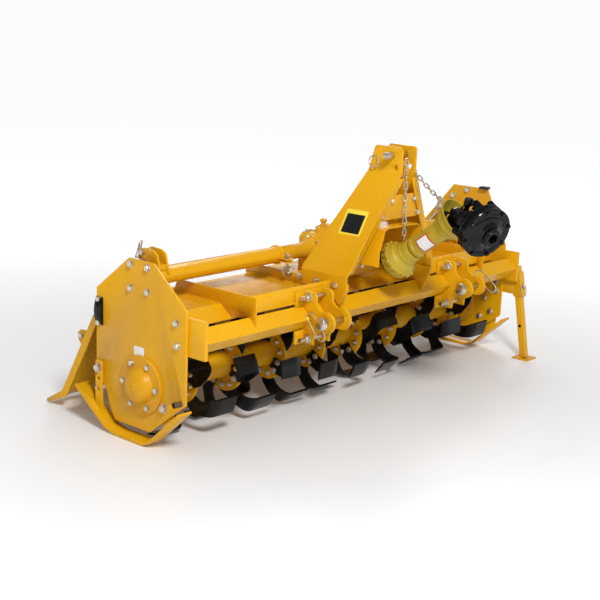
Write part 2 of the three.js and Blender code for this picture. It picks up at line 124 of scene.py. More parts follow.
# A white backdrop stands round the floor. Only the camera sees it, so it sheds no light.
BACKDROP_REACH = 60
BACKDROP_SIDES = 48
backdrop_ring = [(BACKDROP_REACH * cos(2 * pi * k / BACKDROP_SIDES),
                  BACKDROP_REACH * sin(2 * pi * k / BACKDROP_SIDES)) for k in range(BACKDROP_SIDES)]
backdrop_mesh = bpy.data.meshes.new("backdrop")
backdrop_mesh.from_pydata(
    [(x, y, z) for z in (-1, BACKDROP_REACH) for x, y in backdrop_ring], [],
    [(k, (k + 1) % BACKDROP_SIDES, (k + 1) % BACKDROP_SIDES + BACKDROP_SIDES, k + BACKDROP_SIDES)
     for k in range(BACKDROP_SIDES)])
backdrop = bpy.data.objects.new("backdrop", backdrop_mesh)
scene.collection.objects.link(backdrop)
backdrop.visible_diffuse = False
backdrop.visible_glossy = False
backdrop.visible_shadow = False
stage_finish(backdrop_mesh, {"Base Color": (0, 0, 0, 1), "Specular IOR Level": 0,
                             "Emission Color": (0.962, 0.968, 0.976, 1), "Emission Strength": 1})

room = bpy.data.worlds.new("room")
scene.world = room
room.use_nodes = True
room.node_tree.nodes["Background"].inputs["Color"].default_value = (0.97, 0.98, 1, 1)
room.node_tree.nodes["Background"].inputs["Strength"].default_value = 0.42


def lamp(name, place_at, aim, size, power):
    data = bpy.data.lights.new(name, "AREA")
    data.shape = "DISK"
    data.size = size
    data.energy = power
    light = bpy.data.objects.new(name, data)
    light.location = place_at
    light.rotation_euler = (Vector(aim) - light.location).to_track_quat("-Z", "Y").to_euler()
    scene.collection.objects.link(light)


lamp("key", (-2.6, -3.4, 4.0), (0, 0, 0.3), 1.1, 225)
lamp("rim", (3.5, 2.5, 3.2), (0, 0, 0.4), 2.2, 55)

# ---- Painted sheet steel ----
# Laser-cut and folded plates, 3 to 10 mm thick, welded up and powder coated amber. Each takes a
# small round on its cut edges, as the coating gives it.

ROTOR_Z = 182       # the drawing's height for the rotor's axis; the drawing is in millimetres
rotor_low, rotor_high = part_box("rotor_tube")
datum = (rotor_low + rotor_high) / 2 - Vector((0, 0, ROTOR_Z / 1000))


def place(x, y, z):
    return datum + Vector((x, y, z)) / 1000


def finish(name, light, dark, rough, metal=0.0, patch=3.0, grain=700.0, relief=0.00004,
           wave=0.0, coat=0.0, shine=0.25):
    material = bpy.data.materials.new(name)
    material.use_nodes = True
    nodes = material.node_tree.nodes
    link = material.node_tree.links.new
    shader = nodes["Principled BSDF"]
    shader.inputs["Metallic"].default_value = metal
    shader.inputs["Coat Weight"].default_value = coat
    shader.inputs["Coat Roughness"].default_value = 0.08
    shader.inputs["Specular IOR Level"].default_value = shine
    where = nodes.new("ShaderNodeTexCoord")

    def noise(scale, detail):
        texture = nodes.new("ShaderNodeTexNoise")
        texture.inputs["Scale"].default_value = scale
        texture.inputs["Detail"].default_value = detail
        link(where.outputs["Object"], texture.inputs["Vector"])
        return texture.outputs["Fac"]

    def span(value, low, high, out_low, out_high):
        scaled = nodes.new("ShaderNodeMapRange")
        for socket, number in zip(scaled.inputs[1:5], (low, high, out_low, out_high)):
            socket.default_value = number
        link(value, scaled.inputs["Value"])
        return scaled.outputs["Result"]

    # The mix node repeats its socket names, so its colour sockets are taken by place.
    def colour_mix(share, first, second):
        blend = nodes.new("ShaderNodeMix")
        blend.data_type = "RGBA"
        link(share, blend.inputs[0])
        blend.inputs[6].default_value = (*first, 1)
        blend.inputs[7].default_value = (*second, 1)
        return blend.outputs[2]

    colour = colour_mix(span(noise(patch, 4), 0.35, 0.65, 0, 1), dark, light)
    link(colour, shader.inputs["Base Color"])
    link(span(noise(patch * 9, 5), 0.3, 0.7, *rough), shader.inputs["Roughness"])
    fine = nodes.new("ShaderNodeBump")
    fine.inputs["Strength"].default_value = 0.5
    fine.inputs["Distance"].default_value = relief
    link(noise(grain, 3), fine.inputs["Height"])
    if wave:
        broad = nodes.new("ShaderNodeBump")
        broad.inputs["Strength"].default_value = 0.6
        broad.inputs["Distance"].default_value = wave
        link(noise(patch * 3, 2), broad.inputs["Height"])
        link(broad.outputs["Normal"], fine.inputs["Normal"])
    link(fine.outputs["Normal"], shader.inputs["Normal"])
    return material


paint = finish("amber_powder_coat", (0.77, 0.397, 0.006), (0.70, 0.345, 0.004), (0.20, 0.36),
               patch=2.2, grain=650, relief=0.00005, wave=0.0012, coat=0.04, shine=0.2)
cast_paint = finish("amber_on_casting", (0.74, 0.373, 0.007), (0.63, 0.30, 0.005), (0.26, 0.46),
                    patch=7, grain=260, relief=0.0004, coat=0.05, shine=0.2)


def whole(piece, name, body, material, replaced=(), sharp=32):
    mesh = piece.data
    mesh.materials.clear()
    mesh.materials.append(material)
    mesh.shade_smooth()
    mesh.set_sharp_from_angle(angle=radians(sharp))
    piece.name = name
    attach(piece, body)
    if replaced:
        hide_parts(*replaced)


def applied(piece):
    ready = piece.evaluated_get(bpy.context.evaluated_depsgraph_get())
    mesh = bpy.data.meshes.new_from_object(ready)
    piece.modifiers.clear()
    piece.data = mesh


def edged(node, material, width=1.2, cutter=None):
    work = bmesh.new()
    work.from_mesh(frame["nodes"][node].data)
    bmesh.ops.remove_doubles(work, verts=work.verts, dist=0.00002)
    bmesh.ops.dissolve_limit(work, angle_limit=radians(0.8), verts=work.verts, edges=work.edges)
    mesh = bpy.data.meshes.new(node)
    work.to_mesh(mesh)
    work.free()
    piece = bpy.data.objects.new(node, mesh)
    scene.collection.objects.link(piece)
    if cutter:
        slot_cut = piece.modifiers.new("cut", "BOOLEAN")
        slot_cut.object = cutter
        slot_cut.solver = "EXACT"
    bevel = piece.modifiers.new("edge", "BEVEL")
    bevel.width = width / 1000
    bevel.segments = 2
    bevel.limit_method = "ANGLE"
    bevel.angle_limit = radians(38)
    bevel.harden_normals = True
    applied(piece)
    whole(piece, node + "_coated", frame["nodes"][node]["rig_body"], material, (node,))


# The left side plate has a bean slot that the skid's front bolt slides in.
SLOT_ENDS = ((-148, 145), (-189, 162))
slot_low, slot_high = (Vector(end) for end in SLOT_ENDS)
slot_turn = atan2(slot_high.y - slot_low.y, slot_high.x - slot_low.x)
bean = []
for end, start in ((slot_high, slot_turn - pi / 2), (slot_low, slot_turn + pi / 2)):
    bean += [(end.x + 10 * cos(start + pi * k / 8), end.y + 10 * sin(start + pi * k / 8))
             for k in range(9)]
bean_work = bmesh.new()
bean_face = bean_work.faces.new([bean_work.verts.new(place(-950, y, z)) for y, z in bean])
bean_depth = bmesh.ops.extrude_face_region(bean_work, geom=[bean_face])
bean_top = [item for item in bean_depth["geom"] if isinstance(item, bmesh.types.BMVert)]
bmesh.ops.translate(bean_work, verts=bean_top, vec=(0.05, 0, 0))
bmesh.ops.recalc_face_normals(bean_work, faces=bean_work.faces)
bean_mesh = bpy.data.meshes.new("bean")
bean_work.to_mesh(bean_mesh)
bean_work.free()
bean_tool = bpy.data.objects.new("bean", bean_mesh)
scene.collection.objects.link(bean_tool)
edged("side_plate_left", paint, 1.5, bean_tool)
bpy.data.objects.remove(bean_tool)

edged("side_plate_right", paint, 1.5)
for node in ("front_beam", "hood", "gearbox_mount", "mast_gusset", "pto_shield", "stand_socket",
             "parking_leg", "tailboard_hinge", "tailboard"):
    edged(node, paint)
for side in ("left", "right"):
    for node in ("beam_flange", "cross_tube", "deck_rib", "deck_wall", "mast_leg", "hitch_clamp",
                 "skid", "rod_bracket"):
        edged(f"{node}_{side}", paint)

# ---- Castings ----
# Grey-iron gearbox, axle trumpets, bearing housings and the pressed cover of the gear train,
# painted with the frame. Their skin is coarser than sheet and their edges are rounder.

edged("gearbox", cast_paint, 3.0)
edged("gear_case", paint, 2.0)
for side in ("left", "right"):
    edged(f"axle_trumpet_{side}", cast_paint, 1.5)
    edged(f"bearing_housing_{side}", cast_paint, 1.5)


# Rings of corners are joined into a skin, which is capped at both ends or closed on itself.
def skinned(work, rings, closed=False):
    pairs = list(zip(rings, rings[1:]))
    if closed:
        pairs.append((rings[-1], rings[0]))
    else:
        work.faces.new(rings[0])
        work.faces.new(rings[-1])
    for one, two in pairs:
        for k in range(len(one)):
            other = (k + 1) % len(one)
            work.faces.new((one[k], one[other], two[other], two[k]))


def turned(work, profile, start, axis, segments=64, closed=False):
    tilt = Vector(axis).normalized().to_track_quat("Z", "Y")
    rings = []
    for radius, along in profile:
        count = segments if radius > 0 else 1
        rings.append([
            work.verts.new(start + tilt @ Vector((
                radius * cos(2 * pi * k / segments), radius * sin(2 * pi * k / segments),
                along)) / 1000) for k in range(count)])
    pairs = list(zip(rings, rings[1:]))
    if closed:
        pairs.append((rings[-1], rings[0]))
    for low, high in pairs:
        for k in range(segments):
            corners = [low[k % len(low)], low[(k + 1) % len(low)],
                       high[(k + 1) % len(high)], high[k % len(high)]]
            work.faces.new(list(dict.fromkeys(corners)))


def piece_of(work, name, body, material, replaced=(), sharp=32):
    bmesh.ops.recalc_face_normals(work, faces=work.faces)
    mesh = bpy.data.meshes.new(name)
    work.to_mesh(mesh)
    work.free()
    piece = bpy.data.objects.new(name, mesh)
    scene.collection.objects.link(piece)
    whole(piece, name, body, material, replaced, sharp)


# Stepped cap over the left bearing, with a plug in the middle.
HALF_WIDTH = 930
CAP_PROFILE = [
    (0, 0), (102, 0), (102, 6.5), (100.5, 8), (67, 8), (64, 9), (61, 13), (58, 20), (54, 28),
    (45, 36), (31, 41), (17, 43), (16, 43.5), (16, 45), (15, 46), (6, 46), (5.5, 44), (0, 44)]
cap = bmesh.new()
turned(cap, CAP_PROFILE, place(-HALF_WIDTH - 0.3, 0, ROTOR_Z), (-1, 0, 0))
piece_of(cap, "bearing_cap_turned", "root", cast_paint, ("bearing_cover_left",))

# Flange rings where the axle trumpets bolt to the gearbox.
TUBE_Y = 13
TUBE_Z = 538
GEARBOX_HALF = 85
FLANGE_DEPTH = 11
for side, sign in (("left", -1), ("right", 1)):
    ring = bmesh.new()
    turned(ring, [(0, 0), (52, 0), (52, 9), (50.5, FLANGE_DEPTH), (0, FLANGE_DEPTH)],
           place(sign * GEARBOX_HALF, TUBE_Y, TUBE_Z), (sign, 0, 0))
    piece_of(ring, f"trumpet_flange_{side}", "root", cast_paint)

# ---- Bolts and nuts ----
# Zinc-plated hexagon bolts on flat washers hold the plates, the castings and the blades. One
# fastener is cut for each size, and set out at every hole of that size.

zinc = finish("warm_zinc", (0.74, 0.69, 0.60), (0.56, 0.50, 0.40), (0.22, 0.42), metal=1.0,
              patch=30, grain=900, relief=0.00005)

setting = bpy.data.node_groups.new("set out", "GeometryNodeTree")
for label, kind in (("Spots", "Geometry"), ("Part", "Object"), ("Finish", "Material"),
                    ("Size", "Float")):
    setting.interface.new_socket(label, in_out="INPUT", socket_type="NodeSocket" + kind)
setting.interface.new_socket("Result", in_out="OUTPUT", socket_type="NodeSocketGeometry")
start = setting.nodes.new("NodeGroupInput")
end = setting.nodes.new("NodeGroupOutput")
part_in = setting.nodes.new("GeometryNodeObjectInfo")
turn_in = setting.nodes.new("GeometryNodeInputNamedAttribute")
turn_in.data_type = "QUATERNION"
turn_in.inputs["Name"].default_value = "turn"
placing = setting.nodes.new("GeometryNodeInstanceOnPoints")
real = setting.nodes.new("GeometryNodeRealizeInstances")
coating = setting.nodes.new("GeometryNodeSetMaterial")
joins = setting.links.new
joins(start.outputs["Part"], part_in.inputs["Object"])
joins(start.outputs["Spots"], placing.inputs["Points"])
joins(part_in.outputs["Geometry"], placing.inputs["Instance"])
joins(turn_in.outputs["Attribute"], placing.inputs["Rotation"])
joins(start.outputs["Size"], placing.inputs["Scale"])
joins(placing.outputs["Instances"], real.inputs["Geometry"])
joins(real.outputs["Geometry"], coating.inputs["Geometry"])
joins(start.outputs["Finish"], coating.inputs["Material"])
joins(coating.outputs["Geometry"], end.inputs["Result"])


def grown(name, carrier, tree, values, body, material, replaced=(), sharp=32):
    piece = bpy.data.objects.new(name, carrier)
    scene.collection.objects.link(piece)
    growth = piece.modifiers.new("growth", "NODES")
    growth.node_group = tree
    for item in tree.interface.items_tree:
        if item.in_out == "INPUT" and item.name in values:
            growth[item.identifier] = values[item.name]
    piece.update_tag()
    applied(piece)
    whole(piece, name, body, material, replaced, sharp)


def set_out(name, part, spots, body, material, size=1.0, replaced=(), sharp=32):
    carrier = bpy.data.meshes.new(name)
    carrier.from_pydata([spot for spot, _ in spots], [], [])
    turns = carrier.attributes.new("turn", "QUATERNION", "POINT")
    turns.data.foreach_set("value", [value for _, turned_by in spots for value in turned_by])
    values = {"Part": part, "Finish": material, "Size": size}
    grown(name, carrier, setting, values, body, material, replaced, sharp)


def part_of(work, name):
    bmesh.ops.recalc_face_normals(work, faces=work.faces)
    mesh = bpy.data.meshes.new(name)
    work.to_mesh(mesh)
    work.free()
    return bpy.data.objects.new(name, mesh)


# A hexagon head on its washer, standing up from the seat, with the bolt's end through it if asked.
def hexagon(name, flats, head, washer, stub=0.0):
    work = bmesh.new()
    base = Vector((0, 0, 0))
    turned(work, [(0, -0.4), (washer, -0.4), (washer, 1.4), (washer - 0.5, 1.9), (0, 1.9)], base,
           (0, 0, 1), 24)
    corner = flats / sqrt(3)
    turned(work, [(0, 1.5), (corner, 1.5), (corner, head * 0.82), (corner * 0.84, head),
                  (0, head)], base, (0, 0, 1), 6)
    if stub:
        thread = flats * 0.3
        turned(work, [(0, head - 1), (thread, head - 1), (thread, head + stub - 1),
                      (thread - 1, head + stub), (0, head + stub)], base, (0, 0, 1), 16)
    return part_of(work, name)


SMALL = hexagon("bolt_m10", 17, 9, 10.5)
MEDIUM = hexagon("bolt_m12", 19, 10.5, 13)
LARGE = hexagon("bolt_m16", 25, 13, 17)
NUT = hexagon("nut_m12", 19, 11, 13, 6)
BIG_NUT = hexagon("nut_m20", 32, 16, 24, 8)
TINY = hexagon("bolt_m8", 13, 7, 8.5)


# Spots face the way the bolts stand, and each is turned to a different corner.
def facing(points, direction):
    upright = Vector(direction).to_track_quat("Z", "Y")
    return [(place(*point), upright @ Quaternion((0, 0, 1), 2.4 * i + point[1] * 0.1))
            for i, point in enumerate(points)]


# Zinc fasteners of one kind that stand the same way.
def bolts(name, part, points, direction, body="root", size=1.0):
    set_out(name, part, facing(points, direction), body, zinc, size)


def circle(x, y, z, radius, count, first=0.0):
    angles = [first + 2 * pi * k / count for k in range(count)]
    return [(x, y + radius * cos(a), z + radius * sin(a)) for a in angles]


LEFT_FACE = -HALF_WIDTH
FAR_FACE = HALF_WIDTH - 10
MAST_FACE = -258.3

tube_bolts = [(LEFT_FACE, y, z) for y in (55, -27) for z in (581, 501)]
beam_bolts = [(LEFT_FACE, -165, 425), (LEFT_FACE, -171, 351)]
bolts("plate_bolts", MEDIUM, tube_bolts + beam_bolts, (-1, 0, 0))
bolts("cap_bolts", SMALL, circle(LEFT_FACE - 8, 0, ROTOR_Z, 80, 6), (-1, 0, 0))
skid_bolts = [(LEFT_FACE, -111, 128), (LEFT_FACE - 8, 210, 196)]
bolts("skid_bolts_left", LARGE, skid_bolts, (-1, 0, 0))
inner_bolts = [(FAR_FACE, -180, 304), (FAR_FACE, -184, 264), (FAR_FACE, -127, 223),
               (FAR_FACE, -160, 168), (FAR_FACE, -107, 138), (FAR_FACE, -1, 677),
               (FAR_FACE, 70, 646)]
bolts("far_plate_bolts", MEDIUM, inner_bolts, (-1, 0, 0))
foot_bolts = [(MAST_FACE, -87, 472), (MAST_FACE, -167, 470), (MAST_FACE, -252, 468)]
bolts("mast_foot_bolts_left", MEDIUM, foot_bolts, (-1, 0, 0))
bolts("mast_foot_nut_left", BIG_NUT, [(-250, -22, 477)], (-1, 0, 0))
far_foot = [(-x, y, z) for x, y, z in foot_bolts]
bolts("mast_foot_bolts_right", MEDIUM, far_foot, (1, 0, 0))
bolts("mast_foot_nut_right", BIG_NUT, [(250, -22, 477)], (1, 0, 0))
inside_nuts = [(-242, y, 462) for y in (-22, 60, 150)]
bolts("mount_nuts_left", NUT, inside_nuts, (1, 0, 0))
bolts("mount_nuts_right", NUT, [(-x, y, z) for x, y, z in inside_nuts], (-1, 0, 0))

# The gusset leans back, so its bolts lean with it.
GUSSET_LEAN = (0, -0.986, -0.169)
gusset_bolts = [(x, y, z) for z, y, reach_x in ((762, -335.4, 64), (706, -325.8, 103))
                for x in (-reach_x, reach_x)]
bolts("gusset_bolts", SMALL, gusset_bolts, GUSSET_LEAN)

# Covers of the gearbox and the side gear train.
GEARBOX_TOP = 592
lid_bolts = [(x, y, GEARBOX_TOP) for x in (-56, 56) for y in (-118, 60)]
bolts("gearbox_lid_bolts", SMALL, lid_bolts, (0, 0, 1))
for side, sign in (("left", -1), ("right", 1)):
    bolts(f"trumpet_bolts_{side}", TINY,
          circle(sign * (GEARBOX_HALF + FLANGE_DEPTH), TUBE_Y, TUBE_Z, 44, 6, 0.39), (sign, 0, 0))
NOSE_Y = -165
REAR_COVER_Y = 91
six_round = [pi * k / 3 + 0.5 for k in range(6)]
nose = [(48 * cos(a), NOSE_Y, TUBE_Z + 48 * sin(a)) for a in six_round]
bolts("nose_bolts", TINY, nose, (0, -1, 0))
tail = [(44 * cos(a), REAR_COVER_Y, TUBE_Z + 44 * sin(a)) for a in six_round]
bolts("rear_cover_bolts", SMALL, tail, (0, 1, 0))

CASE_LOW_RADIUS = 122
CASE_HIGH_RADIUS = 102
CASE_TOP = 560
case_rim = []
for k in range(7):
    a = pi + pi * k / 6
    case_rim.append((HALF_WIDTH + 12, CASE_LOW_RADIUS * cos(a), ROTOR_Z + CASE_LOW_RADIUS * sin(a)))
    b = pi * k / 6
    case_rim.append((HALF_WIDTH + 12, TUBE_Y + CASE_HIGH_RADIUS * cos(b),
                     CASE_TOP + CASE_HIGH_RADIUS * sin(b)))
for share in (0.25, 0.5, 0.75):
    z = ROTOR_Z + (CASE_TOP - ROTOR_Z) * share
    half = CASE_LOW_RADIUS + (CASE_HIGH_RADIUS - CASE_LOW_RADIUS) * share
    case_rim += [(HALF_WIDTH + 12, TUBE_Y * share + sign * half, z) for sign in (-1, 1)]
bolts("gear_case_bolts", SMALL, case_rim, (1, 0, 0))
right_skid = [(HALF_WIDTH + 13, -150, 128), (HALF_WIDTH + 8.3, 210, 196)]
bolts("skid_bolts_right", LARGE, right_skid, (1, 0, 0))
socket_bolts = [(HALF_WIDTH + 8, -168, 335), (HALF_WIDTH + 8, -168, 280)]
bolts("stand_bolts", MEDIUM, socket_bolts, (1, 0, 0))

# ---- Weld seams ----
# Continuous fillet welds where plates, ribs and tubes meet, drawn as one rippled bead along each
# seam and coated over with the frame.

welding = bpy.data.node_groups.new("weld bead", "GeometryNodeTree")
for label, kind in (("Seam", "Geometry"), ("Finish", "Material"), ("Bead", "Float"),
                    ("Ripple", "Float")):
    welding.interface.new_socket(label, in_out="INPUT", socket_type="NodeSocket" + kind)
welding.interface.new_socket("Result", in_out="OUTPUT", socket_type="NodeSocketGeometry")
seam_in = welding.nodes.new("NodeGroupInput")
seam_out = welding.nodes.new("NodeGroupOutput")
to_curve = welding.nodes.new("GeometryNodeMeshToCurve")
stepped = welding.nodes.new("GeometryNodeResampleCurve")
stepped.mode = "LENGTH"
stepped.inputs["Length"].default_value = 0.004
ripple = welding.nodes.new("ShaderNodeTexNoise")
ripple.inputs["Scale"].default_value = 160
swell = welding.nodes.new("ShaderNodeMath")
swell.operation = "MULTIPLY_ADD"
swell.inputs[2].default_value = 0.7
thick = welding.nodes.new("GeometryNodeSetCurveRadius")
section = welding.nodes.new("GeometryNodeCurvePrimitiveCircle")
section.inputs["Resolution"].default_value = 7
swept = welding.nodes.new("GeometryNodeCurveToMesh")
swept.inputs["Fill Caps"].default_value = True
real_bead = welding.nodes.new("GeometryNodeRealizeInstances")
bead_coat = welding.nodes.new("GeometryNodeSetMaterial")
joins = welding.links.new
joins(seam_in.outputs["Seam"], to_curve.inputs["Mesh"])
joins(to_curve.outputs["Curve"], stepped.inputs["Curve"])
joins(stepped.outputs["Curve"], thick.inputs["Curve"])
joins(ripple.outputs["Fac"], swell.inputs[0])
joins(seam_in.outputs["Ripple"], swell.inputs[1])
joins(swell.outputs["Value"], thick.inputs["Radius"])
joins(seam_in.outputs["Bead"], section.inputs["Radius"])
joins(thick.outputs["Curve"], swept.inputs["Curve"])
joins(section.outputs["Curve"], swept.inputs["Profile Curve"])
radius_in = welding.nodes.new("GeometryNodeInputRadius")
joins(radius_in.outputs["Radius"], swept.inputs["Scale"])
joins(swept.outputs["Mesh"], real_bead.inputs["Geometry"])
joins(real_bead.outputs["Geometry"], bead_coat.inputs["Geometry"])
joins(seam_in.outputs["Finish"], bead_coat.inputs["Material"])
joins(bead_coat.outputs["Geometry"], seam_out.inputs["Result"])


def welds(name, seams, bead=2.6, body="root"):
    corners = []
    edges = []
    for seam in seams:
        first = len(corners)
        corners += [place(*point) for point in seam]
        edges += [(first + k, first + k + 1) for k in range(len(seam) - 1)]
    carrier = bpy.data.meshes.new(name)
    carrier.from_pydata(corners, edges, [])
    values = {"Finish": paint, "Bead": bead / 1000, "Ripple": 0.6}
    grown(name, carrier, welding, values, body, paint, sharp=60)


DECK_Z = 440
BEAM_Y = -238
BEAM_Z = 375
BEAM_HALF = 60 / sqrt(2)
deck_seams = []
for x in (-673, -667, 667, 673):
    deck_seams.append([(x, 126, DECK_Z + 1), (x, -100, DECK_Z + 1)])
for x in (-250, 250):
    deck_seams.append([(x, 188, DECK_Z + 1), (x, -100, DECK_Z + 1)])
welds("deck_welds", deck_seams)
hood_seams = [[(x, 243, 387), (x, 175, DECK_Z + 1), (x, -102, DECK_Z + 1), (x, -128, 422)]
              for x in (-918.5, 918.5)]
hood_seams.append([(-914, 209, 414), (-690, 209, 414)])
hood_seams.append([(690, 209, 414), (914, 209, 414)])
welds("hood_end_welds", hood_seams, 3.2)
diamond = [(-BEAM_HALF, 0), (0, BEAM_HALF), (BEAM_HALF, 0), (0, -BEAM_HALF), (-BEAM_HALF, 0)]
beam_seams = [[(x, BEAM_Y + dy, BEAM_Z + dz) for dy, dz in diamond] for x in (-904, 904)]
welds("beam_end_welds", beam_seams, 3.0)
full_turn = [2 * pi * k / 24 for k in range(25)]
tube_seams = [[(x, TUBE_Y + 31 * cos(a), TUBE_Z + 31 * sin(a)) for a in full_turn]
              for x in (-907, 907, -285.5, 285.5)]
welds("tube_end_welds", tube_seams, 3.0)
wall_seams = [[(side * 260, BEAM_Y + 1.5, 429), (side * 665, BEAM_Y + 1.5, 429)]
              for side in (-1, 1)]
welds("wall_welds", wall_seams, 2.4)

# ---- Rotor ----
# Eight flange discs welded on a tube, each with six swept blades of spring steel. The blades are
# dipped black and bolted on by two bolts each, three to either side of the disc.

blade_black = finish("black_blade_dip", (0.005, 0.005, 0.0055), (0.003, 0.003, 0.003),
                     (0.12, 0.26), patch=9, grain=420, relief=0.0001, shine=0.22)
edged("rotor_tube", paint)

GANGS = 8
GANG_PITCH = 218.6
GANG_LEAD = 16.7
GANG_PHASE = 178
TIP_RADIUS = 191
# Outer face of the blade from hub to foot: distance from the disc, radius, share of the radius
# kept by the trailing edge, angle behind the hub and half the blade's angle, in degrees.
BLADE_LINE = [(4.8, 50, 1, 0, 24), (4.8, 72, 1, -1, 20.5), (4.8, 95, 1, -3, 17.5),
              (4.8, 120, 1, -8.5, 14.8), (4.8, 145, 0.985, -17, 12.8), (4.9, 164, 0.96, -23.5, 11.8),
              (7.0, 177, 0.945, -27, 11), (12.5, 186, 0.942, -29, 10.4),
              (22, 190.5, 0.942, -30, 10), (45, TIP_RADIUS, 0.942, -30, 10),
              (80, TIP_RADIUS, 0.942, -30, 10), (116, TIP_RADIUS, 0.942, -30, 10)]
THICKNESS = 8


def blade_part(name, sign):
    work = bmesh.new()
    rings = []
    for i, (x, r, keep, angle, half) in enumerate(BLADE_LINE):
        before = BLADE_LINE[max(i - 1, 0)]
        after = BLADE_LINE[min(i + 1, len(BLADE_LINE) - 1)]
        run = Vector((after[0] - before[0], after[1] - before[1])).normalized()
        inward = Vector((run.y, -run.x))
        edge_share = min(max((r - 120) / 40, 0), 1)
        ground = THICKNESS * (1 - 0.72 * edge_share)
        # Across the blade: the trailing edge, the ground bevel, then the leading edge.
        stops = [(-1, 0), (-0.35, 0), (0.4, 0), (1, 0), (1, ground), (0.4, THICKNESS),
                 (-0.35, THICKNESS), (-1, THICKNESS)]
        ring = []
        for side, depth in stops:
            kept = 1 + (keep - 1) * (1 - side) / 2
            a = radians(angle + half * side)
            ring.append(work.verts.new((
                sign * (x + inward.x * depth) / 1000,
                (r + inward.y * depth) * kept * cos(a) / 1000,
                (r + inward.y * depth) * kept * sin(a) / 1000)))
        rings.append(ring)
    skinned(work, rings)
    return part_of(work, name)


blades = {"left": blade_part("blade_left", -1), "right": blade_part("blade_right", 1)}
disc_work = bmesh.new()
turned(disc_work, [(46, -5), (96, -5), (97, -4), (97, 4), (96, 5), (46, 5)], Vector((0, 0, 0)),
       (1, 0, 0), 64, closed=True)
disc = part_of(disc_work, "disc")
hubs = [(i - (GANGS - 1) / 2) * GANG_PITCH for i in range(GANGS)]
axis_x = Vector((1, 0, 0))
disc_spots = [(place(x, 0, ROTOR_Z), Quaternion()) for x in hubs]
set_out("flange_discs", disc, disc_spots, "rotor", paint)
rotor_welds = [[(x + dx, 46 * cos(a), ROTOR_Z + 46 * sin(a)) for a in full_turn]
               for x in hubs for dx in (-6, 6)]
welds("disc_welds", rotor_welds, 2.8, "rotor")
gang_nodes = [f"tine_gang_{i + 1}" for i in range(GANGS)]
for side, first, nodes_taken in (("left", 0, gang_nodes), ("right", 60, ())):
    spots = [(place(x, 0, ROTOR_Z),
              Quaternion(axis_x, radians(GANG_PHASE + GANG_LEAD * i + first + 120 * k)))
             for i, x in enumerate(hubs) for k in range(3)]
    set_out(f"blades_{side}", blades[side], spots, "rotor", blade_black,
            replaced=nodes_taken, sharp=28)

BOLT_RADIUS = 75
for side, sign, first in (("left", -1, 0), ("right", 1, 60)):
    heads = []
    nuts = []
    for i, x in enumerate(hubs):
        for k in range(3):
            for offset in (-15, 15):
                a = radians(GANG_PHASE + GANG_LEAD * i + first + 120 * k + offset)
                spot = (BOLT_RADIUS * cos(a), ROTOR_Z + BOLT_RADIUS * sin(a))
                heads.append((x + sign * (4.8 + THICKNESS), *spot))
                nuts.append((x - sign * 5, *spot))
    bolts(f"blade_bolts_{side}", SMALL, heads, (sign, 0, 0), "rotor")
    bolts(f"blade_nuts_{side}", hexagon(f"nut_{side}", 17, 9, 10.5, 4), nuts, (-sign, 0, 0),
          "rotor")

# ---- Driveline guard ----
# Two moulded plastic tubes that slide in each other, with a bell at either end. The inner bell
# has a castellated collar that its bearing ring snaps into.

guard_plastic = finish("olive_guard_plastic", (0.50, 0.36, 0.030), (0.38, 0.26, 0.016),
                       (0.30, 0.46), patch=6, grain=240, relief=0.00012, shine=0.25)
INNER = Vector((0, -329, 538))
OUTER = Vector((0, -605, 747.3))
shaft = (OUTER - INNER).normalized()
SPAN = (OUTER - INNER).length

inner_guard = bmesh.new()
turned(inner_guard, [
    (60, -20), (62.5, -21), (63, -18), (63, -1), (67.5, 1), (68, 3), (68, 11), (67, 13), (64, 15),
    (62, 20), (58, 24), (56, 30), (50, 34), (46, 40), (44, 44), (44, 56), (42, 58), (41, 82),
    (39, 87), (31, 90), (31, SPAN - 60), (27, SPAN - 60), (27, 88), (37, 80), (40, 46), (52, 28),
    (60, 12)], place(*INNER), shaft, 64, closed=True)
piece_of(inner_guard, "guard_inner_moulded", "driveline", guard_plastic,
         ("guard_inner",))
outer_guard = bmesh.new()
turned(outer_guard, [
    (32, 96), (39, 96), (39.5, 98), (39.5, 106), (39, 109), (36.5, 111), (36, 113),
    (36, SPAN - 140), (38, SPAN - 124), (42, SPAN - 106), (43, SPAN - 100), (49, SPAN - 99),
    (50, SPAN - 97), (51, SPAN - 90), (55, SPAN - 84), (58, SPAN - 76), (64, SPAN - 71),
    (65, SPAN - 68), (66, SPAN - 58), (69, SPAN - 52), (73, SPAN - 38), (76, SPAN - 35),
    (76, SPAN - 32.5), (72, SPAN - 32.5), (64, SPAN - 54), (60, SPAN - 66), (51, SPAN - 80),
    (46, SPAN - 92), (38, SPAN - 102), (32, SPAN - 130)], place(*INNER), shaft, 64, closed=True)
piece_of(outer_guard, "guard_outer_moulded", "driveline_outer", guard_plastic,
         ("guard_outer",))

tab_work = bmesh.new()
bmesh.ops.create_cube(tab_work, size=1, matrix=Matrix.Diagonal((0.009, 0.012, 0.015, 1)))
bmesh.ops.bevel(tab_work, geom=tab_work.edges[:], offset=0.0015, segments=1, affect="EDGES")
tab = part_of(tab_work, "collar_tab")
shaft_turn = shaft.to_track_quat("Z", "Y")
tabs = []
for k in range(16):
    around = shaft_turn @ Quaternion((0, 0, 1), 2 * pi * k / 16)
    centre = INNER + shaft * 7 + around @ Vector((68.5, 0, 0))
    tabs.append((place(*centre), around))
set_out("collar_tabs", tab, tabs, "driveline", guard_plastic)

